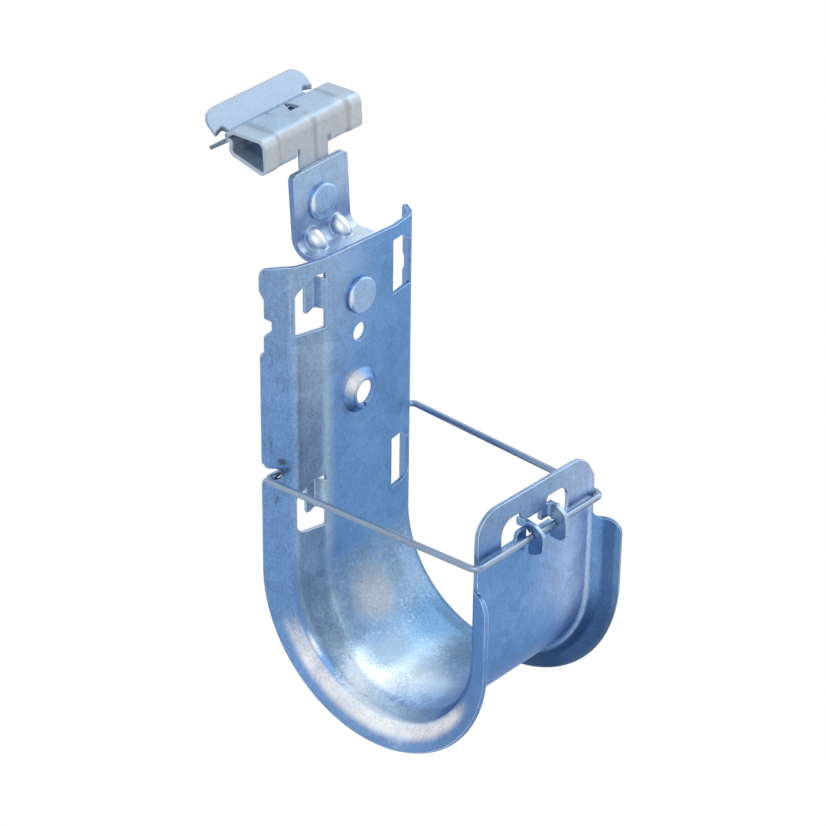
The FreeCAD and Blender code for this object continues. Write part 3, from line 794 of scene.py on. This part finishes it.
@dataclass(frozen=True)
class BracketStrip(ZincFinish):
    """Galvanised strip: painted deep blue shade on its sheared edges, painted light on faces that face
    front and up, and painted highlights on the darts.
    """

    # Pale grey of the painted highlight on the darts
    DART_HIGHLIGHT: ClassVar[Colour] = (0.74, 0.75, 0.77)

    name: str = "galvanised strip"
    tone: Colour = (0.34, 0.47, 0.63)
    dull: Colour = (0.24, 0.35, 0.5)
    bright: Colour = (0.43, 0.55, 0.68)
    metallic: float = 0.92
    rough: float = 0.36
    crystal_scale: float = 330.0
    relief: float = 0.02
    contrast: float = 0.7
    wear_and_glint: float = 0.2
    soft: float = 0.5

    def zones(self) -> tuple[Zone, ...]:
        """Painted light and shade on the strip, by the way it faces."""
        return (
            *super().zones(),
            # Painted shade: faces that face left, the sheared edges, are deep blue
            Zone("sheared edge", (0.1, 0.2, 0.46), 0.85, (Fade(Measure.FACING_RIGHT, -0.7, -0.97),)),
            # Painted light: faces that face the front take a deeper blue
            Zone("upper leg", (0.3, 0.42, 0.66), 0.45, (Fade(Measure.FACING_REAR, -0.9, -0.99),)),
            # Painted light: faces that face up, the shelf, are pale
            Zone("shelf", (0.6, 0.72, 0.85), 0.7, (Fade(Measure.FACING_UP, 0.85, 0.98),)),
        )

    def patches(self) -> tuple[Patch, ...]:
        """Painted highlights on the two pressed darts."""
        return (
            Patch("left dart", (-4.9, 8.6, 78.0), (3.5, 3.6, 4.6), self.DART_HIGHLIGHT, 0.85, 1.0),
            Patch("right dart", (3.3, 8.6, 78.3), (3.5, 3.6, 4.6), self.DART_HIGHLIGHT, 0.85, 1.0),
        )


@dataclass(frozen=True)
class RivetZinc(ZincFinish):
    """Headed zinc with scuffed faces."""

    GLINT: ClassVar[Colour] = (0.8, 0.85, 0.9)

    name: str = "rivet zinc"
    tone: Colour = (0.29, 0.44, 0.66)
    dull: Colour = (0.2, 0.34, 0.54)
    bright: Colour = (0.38, 0.52, 0.72)
    metallic: float = 0.92
    rough: float = 0.33
    crystal_scale: float = 420.0
    relief: float = 0.015
    contrast: float = 0.7

    def zones(self) -> tuple[Zone, ...]:
        """Zones of a rivet: its clouds and its scuffs."""
        return (*super().zones(), Zone("scuffs", self.bright, 0.35, (Fade(Measure.SCUFFS, 0.5, 0.7),)))

    def patches(self) -> tuple[Patch, ...]:
        """Glints on the upper left edge of each head."""
        return (
            Patch("lower glint", (-4.1, -1.2, 66.2), (0.9, 1.3, 3.8), self.GLINT, 0.7, 0.4),
            Patch("upper glint", (-5.5, 9.1, 86.7), (0.9, 1.3, 3.8), self.GLINT, 0.7, 0.4),
        )


@dataclass(frozen=True)
class ClipCoating(ZincFinish):
    """Mechanical zinc coating with painted light: blue-grey on faces that face up, warm grey on faces that
    face the front.
    """

    BODY: ClassVar[Fade] = Fade(Measure.DEPTH, 23.5, 21.5)
    RUBBED: ClassVar[Colour] = (0.46, 0.47, 0.48)
    SPECK: ClassVar[Colour] = (0.08, 0.1, 0.12)

    name: str = "spring clip coating"
    tone: Colour = (0.3, 0.42, 0.56)
    dull: Colour = (0.17, 0.24, 0.33)
    bright: Colour = (0.42, 0.53, 0.66)
    metallic: float = 0.8
    rough: float = 0.45
    crystal_scale: float = 300.0
    relief: float = 0.03
    contrast: float = 0.5
    wear_and_glint: float = 0.4
    soft: float = 0.6

    def zones(self) -> tuple[Zone, ...]:
        """Zones of the clip, in the order in which they are laid."""
        return (*super().zones(), *self.faces(), *self.body(), *self.lips())

    def faces(self) -> tuple[Zone, ...]:
        """Painted light by the way the sheet faces, and its mottle."""
        return (
            # Painted light: faces that face up are paler blue, mottled
            Zone("mottled top", (0.38, 0.53, 0.69), 0.55, (
                Fade(Measure.FACING_UP, 0.3, 0.9), Fade(Measure.CLIP_MOTTLE, 0.4, 0.66),
            )),
            # Painted light: faces that face the front are warm grey
            Zone("warm front", (0.42, 0.44, 0.47), 0.8, (Fade(Measure.FACING_REAR, -0.4, -0.9),)),
            Zone("mottle", self.dull, 0.2, (Fade(Measure.CLIP_MOTTLE, 0.56, 0.74),)),
        )

    def body(self) -> tuple[Zone, ...]:
        """Painted light on the raised end bands, painted shade in the grooves beside them and along the
        crease in the middle.
        """
        return (
            # Painted light on the end bands, painted shade in the grooves and the crease
            Zone("end bands", (0.5, 0.56, 0.62), 0.3, (self.BODY, Fade(Measure.CLIP_SIDE, 12.0, 13.2))),
            Zone("grooves", (0.16, 0.2, 0.26), 0.4, (
                self.BODY, Fade(Measure.CLIP_SIDE, 10.0, 11.0), Fade(Measure.CLIP_SIDE, 12.4, 11.5),
            )),
            Zone("crease", (0.17, 0.2, 0.24), 0.4, (
                Fade(Measure.CLIP_ACROSS, -0.6, 0.4), Fade(Measure.CLIP_ACROSS, 1.8, 0.6),
                Fade(Measure.DEPTH, 16.0, 14.5),
            )),
        )

    def lips(self) -> tuple[Zone, ...]:
        """Painted shade on the lips, below and above the line where they meet."""
        return (
            # Painted shade in the jaw, darkest on the lower lip
            Zone("lower lip", (0.07, 0.11, 0.19), 0.8, (
                Fade(Measure.DEPTH, 22.5, 24.0), Fade(Measure.JAW_HEIGHT, 118.6, 117.9),
            )),
            Zone("upper lip", (0.17, 0.28, 0.43), 0.4, (
                Fade(Measure.DEPTH, 24.0, 26.0), Fade(Measure.JAW_HEIGHT, 118.6, 119.4),
            )),
        )

    def patches(self) -> tuple[Patch, ...]:
        """Rubbed patches on the front, painted highlights on the top bend, and dark specks."""
        return (
            Patch("rubbed left", (-14.0, 12.2, 100.5), (3.2, 3.0, 5.0), self.RUBBED, 0.5, 1.0),
            Patch("rubbed right", (9.0, 11.8, 103.5), (5.0, 3.0, 4.0), self.RUBBED, 0.5, 1.0),
            # Painted highlights on the rounded top bend, right and left
            Patch("right bend", (8.5, 14.0, 106.4), (4.5, 2.0, 1.5), (0.55, 0.62, 0.7), 0.7, 0.6),
            Patch("left bend", (-3.0, 13.5, 106.4), (3.5, 1.6, 1.2), (0.5, 0.56, 0.62), 0.6, 0.6),
            Patch("front speck", (5.2, 11.5, 99.0), (0.5, 1.0, 0.7), (0.06, 0.07, 0.09), 0.8, 0.8),
            Patch("lip speck", (-6.5, 28.0, 107.2), (0.5, 0.7, 1.0), self.SPECK, 0.7, 0.8),
            Patch("top speck", (-13.0, 17.0, 106.2), (0.5, 0.7, 1.0), self.SPECK, 0.7, 0.8),
        )


@dataclass(frozen=True)
class DrawnWire(ZincFinish):
    """Smooth drawn wire, which has no edges to wear."""

    name: str = "drawn wire"
    tone: Colour = (0.24, 0.32, 0.44)
    dull: Colour = (0.15, 0.19, 0.25)
    bright: Colour = (0.36, 0.44, 0.55)
    metallic: float = 0.9
    rough: float = 0.3
    crystal_scale: float = 700.0
    relief: float = 0.006
    contrast: float = 0.35
    wear_and_glint: float = 0.0


class Slot(Enum):
    """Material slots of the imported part."""

    HOOK = "hook_sheet"
    BRACKET = "bracket_strip"
    RIVET = "rivet_steel"
    CLIP = "clip_spring_steel"
    WIRE = "retainer_wire"


FINISHES: dict[Slot, ZincFinish] = {
    Slot.HOOK: HookSheet(),
    Slot.BRACKET: BracketStrip(),
    Slot.RIVET: RivetZinc(),
    Slot.CLIP: ClipCoating(),
    Slot.WIRE: DrawnWire(),
}


@dataclass(frozen=True)
class Lamp:
    """One soft square lamp that faces about the middle of the part, in metres and watts."""

    TARGET: ClassVar[Vector] = Vector((0.0, -0.045, -0.06))

    name: str
    place: Triple
    side: float
    power: float

    def build(self) -> None:
        """Add the lamp to the scene."""
        data = bpy.data.lights.new(self.name, "AREA")
        data.shape = "SQUARE"
        data.size = self.side
        data.energy = self.power
        lamp = bpy.data.objects.new(self.name, data)
        bpy.context.scene.collection.objects.link(lamp)
        lamp.location = self.place
        lamp.rotation_euler = (Vector(self.place) - self.TARGET).to_track_quat("Z", "Y").to_euler()


@dataclass(frozen=True)
class Studio:
    """Pale floor, soft light and white surroundings, in metres.

    The sky holds heights, from 0 straight below to 1 straight above, and the brightness at each.
    """

    floor_z: float = -0.26
    floor_side: float = 6.0
    floor_paint: Colour = (0.82, 0.83, 0.85)
    sky: tuple[Pair, ...] = ((0.0, 0.7), (0.45, 1.0), (0.62, 1.15), (1.0, 1.035))
    lamps: tuple[Lamp, ...] = (
        Lamp("key", (-0.55, -0.5, 0.55), side=0.5, power=1.6),
        Lamp("fill", (0.7, -0.35, 0.1), side=0.6, power=0.8),
        Lamp("top", (0.6, -0.12, 0.62), side=0.6, power=1.7),
    )

    def build(self) -> None:
        """Make the surroundings, the floor and the lamps."""
        self.surroundings()
        self.floor()
        for lamp in self.lamps:
            lamp.build()
        LOG.info("studio: %d lamps", len(self.lamps))

    def surroundings(self) -> None:
        """White for the camera, and a soft top-to-bottom fall for what the metal mirrors."""
        world = bpy.data.worlds.new("studio")
        bpy.context.scene.world = world
        world.use_nodes = True
        sheet = NodeSheet(world.node_tree)
        rise = sheet.split(sheet.signal("ShaderNodeTexCoord", output="Generated"))[2]
        share = sheet.signal("ShaderNodeMapRange", None, {"Value": rise, "From Min": -1.0})
        stops = [(height, (level, level, level)) for height, level in self.sky]
        fall = sheet.signal("ShaderNodeValToRGB", {"stops": stops}, {0: share})
        soft = sheet.signal("ShaderNodeBackground", None, {0: fall})
        white = sheet.signal("ShaderNodeBackground", None, {0: WHITE})
        rays = sheet.node("ShaderNodeLightPath").outputs
        seen = Signal(sheet, rays["Is Camera Ray"]).at_least(Signal(sheet, rays["Is Transmission Ray"]))
        sheet.node("ShaderNodeOutputWorld", None, {"Surface": sheet.mixed(seen, soft, white)})

    def floor(self) -> None:
        """Plain pale floor, white where the camera or a reflection sees it."""
        bpy.ops.mesh.primitive_plane_add(size=self.floor_side, location=(0.0, 0.0, self.floor_z))
        floor = bpy.context.active_object
        floor.name = "floor"
        sheet = FinishSheet("floor")
        paint = sheet.signal("ShaderNodeBsdfDiffuse", None, {0: self.floor_paint})
        glow = sheet.signal("ShaderNodeEmission", None, {0: WHITE, 1: 1.0})
        rays = sheet.node("ShaderNodeLightPath").outputs
        seen = Signal(sheet, rays["Is Camera Ray"]).at_least(Signal(sheet, rays["Is Glossy Ray"]))
        seen = seen.at_least(Signal(sheet, rays["Is Transmission Ray"]))
        sheet.node("ShaderNodeOutputMaterial", None, {"Surface": sheet.mixed(seen, paint, glow)})
        floor.data.materials.append(sheet.material)


@dataclass(frozen=True)
class PhotoCamera:
    """Camera at the photograph's place, in metres on the hook's axes, and at its angles in degrees."""

    place: Triple = (-0.42779, -0.38232, 0.34556)
    azimuth: float = -49.44
    elevation: float = 28.421
    roll: float = -0.751
    focal_pixels: float = 2817.27
    photo_pixels: float = 826.0
    sensor_width: float = 36.0
    clip_start: float = 0.01

    def axes(self) -> Matrix:
        """The directions of the camera's right, up and back.

        Returns:
            A matrix with the three directions as its columns.
        """
        turn, tilt, lean = (math.radians(angle) for angle in (self.azimuth, self.elevation, self.roll))
        back = Vector((math.sin(turn) * math.cos(tilt), -math.cos(turn) * math.cos(tilt), math.sin(tilt)))
        right = Vector((math.cos(turn), math.sin(turn), 0.0))
        up = back.cross(right)
        rolled_right = right * math.cos(lean) - up * math.sin(lean)
        rolled_up = right * math.sin(lean) + up * math.cos(lean)
        return Matrix((rolled_right, rolled_up, back)).transposed()

    def build(self) -> None:
        """Make the camera and set it as the scene's own."""
        data = bpy.data.cameras.new("photo_camera")
        data.sensor_width = self.sensor_width
        data.lens = self.focal_pixels * self.sensor_width / self.photo_pixels
        data.clip_start = self.clip_start
        camera = bpy.data.objects.new("photo_camera", data)
        bpy.context.scene.collection.objects.link(camera)
        camera.matrix_world = Matrix.Translation(Vector(self.place) - JAW_FROM_HOOK) @ self.axes().to_4x4()
        bpy.context.scene.camera = camera


@dataclass(frozen=True)
class HeadedRivet:
    """One flat-headed rivet: turned front head, shank and clinched rear head, in millimetres.

    The dimple and the hollow hold each ring's radius and depth. The turned ring, the rounding and
    the clinch hold how far each ring lies inside the rim, and its depth.
    """

    SMOOTH_ANGLE: ClassVar[float] = math.radians(50.0)
    WELD: ClassVar[float] = 1e-7

    name: str
    body: str
    head: float = 4.45
    shank: float = 2.4
    tail: float = 3.75
    thick: float = 1.2
    dimple: tuple[Pair, ...] = ((0.4, 0.04), (1.2, 0.03), (2.0, 0.0))
    turned: tuple[Pair, ...] = ((1.45, 0.0), (1.35, 0.02), (1.25, 0.02), (1.15, 0.0))
    rounding: tuple[Pair, ...] = ((0.6, 0.02), (0.35, 0.09), (0.14, 0.24), (0.03, 0.42), (0.0, 0.6))
    clinch: tuple[Pair, ...] = (
        (0.0, 0.6), (0.08, 0.3), (0.3, 0.1), (0.7, 0.0), (1.6, 0.0), (1.9, 0.12), (2.6, 0.3),
    )
    hollow: Pair = (0.6, 0.34)
    sides: int = 72

    def front(self) -> list[Pair]:
        """Radius and depth of each ring of the front head, from its dimple to its rim."""
        edge = [(self.head - inside, depth) for inside, depth in self.turned + self.rounding]
        return [*self.dimple, *edge, (self.head, self.thick)]

    def rear(self) -> list[Pair]:
        """Radius and depth of each ring of the clinched head, from its rim to its hollow."""
        edge = [(self.tail - inside, depth) for inside, depth in self.clinch]
        return [(self.tail, self.thick), *edge, self.hollow]

    def rings(self, front: float, rear: float) -> list[Pair]:
        """Radius and place of every ring, in metres.

        Args:
            front: Where the front face lies.
            rear: Where the rear face lies.

        Returns:
            The rings from front to rear.
        """
        ahead = [*self.front(), (self.shank, self.thick)]
        behind = [(self.shank, self.thick), *self.rear()]
        rings = [(radius * MM, front + depth * MM) for radius, depth in ahead]
        return rings + [(radius * MM, rear - depth * MM) for radius, depth in behind]

    def build(self, finish: bpy.types.Material) -> None:
        """Model the rivet ring by ring where the frame holds it.

        Args:
            finish: Material of the rivet.
        """
        low, high = (Vector(corner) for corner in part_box(self.name))
        centre = (low + high) / 2
        rings = self.rings(low.y, high.y)
        bpy.ops.object.select_all(action="DESELECT")
        bpy.ops.mesh.primitive_circle_add(
            vertices=self.sides, radius=rings[0][0], fill_type="NGON",
            location=(centre.x, rings[0][1], centre.z), rotation=(math.radians(90.0), 0.0, 0.0),
        )
        piece = bpy.context.active_object
        bpy.ops.object.transform_apply(location=True, rotation=True, scale=True)
        bpy.ops.object.mode_set(mode="EDIT")
        bpy.ops.mesh.select_mode(type="EDGE")
        bpy.ops.mesh.select_all(action="SELECT")
        for (inner, before), (outer, after) in zip(rings, rings[1:]):
            bpy.ops.mesh.extrude_edges_move(TRANSFORM_OT_translate={"value": (0.0, after - before, 0.0)})
            share = outer / inner
            bpy.ops.transform.resize(value=(share, 1.0, share), center_override=(centre.x, after, centre.z))
        bpy.ops.mesh.edge_face_add()
        bpy.ops.mesh.select_all(action="SELECT")
        bpy.ops.mesh.remove_doubles(threshold=self.WELD)
        bpy.ops.mesh.normals_make_consistent(inside=False)
        bpy.ops.object.mode_set(mode="OBJECT")
        bpy.ops.object.shade_smooth_by_angle(angle=self.SMOOTH_ANGLE)
        piece.name = piece.data.name = self.name + "_headed"
        piece.data.materials.append(finish)
        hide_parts(self.name)
        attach(piece, self.body)
        LOG.info("%s: %d faces", piece.name, len(piece.data.polygons))


def dress(frame: dict[str, Any], finishes: dict[Slot, bpy.types.Material]) -> None:
    """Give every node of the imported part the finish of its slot.

    Args:
        frame: The loaded frame.
        finishes: Material of each slot.
    """
    slots = {entry["node"]: Slot(entry["material_slot"]) for entry in frame["record"]["subparts"]}
    for name, node in frame["nodes"].items():
        for holder in node.material_slots:
            holder.material = finishes[slots[name]]
        LOG.info("%s dressed as %s", name, slots[name].value)


def main() -> None:
    """Build the camera and the studio, dress the part and model its rivets."""
    logging.basicConfig(level=logging.INFO, format="%(message)s")
    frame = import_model()
    bpy.context.scene.view_settings.view_transform = "Standard"
    PhotoCamera().build()
    Studio().build()
    finishes = {slot: finish.build() for slot, finish in FINISHES.items()}
    dress(frame, finishes)
    for name in ("upper_rivet", "lower_rivet"):
        HeadedRivet(name, "bracket").build(finishes[Slot.RIVET])


if __name__ == "__main__":
    main()
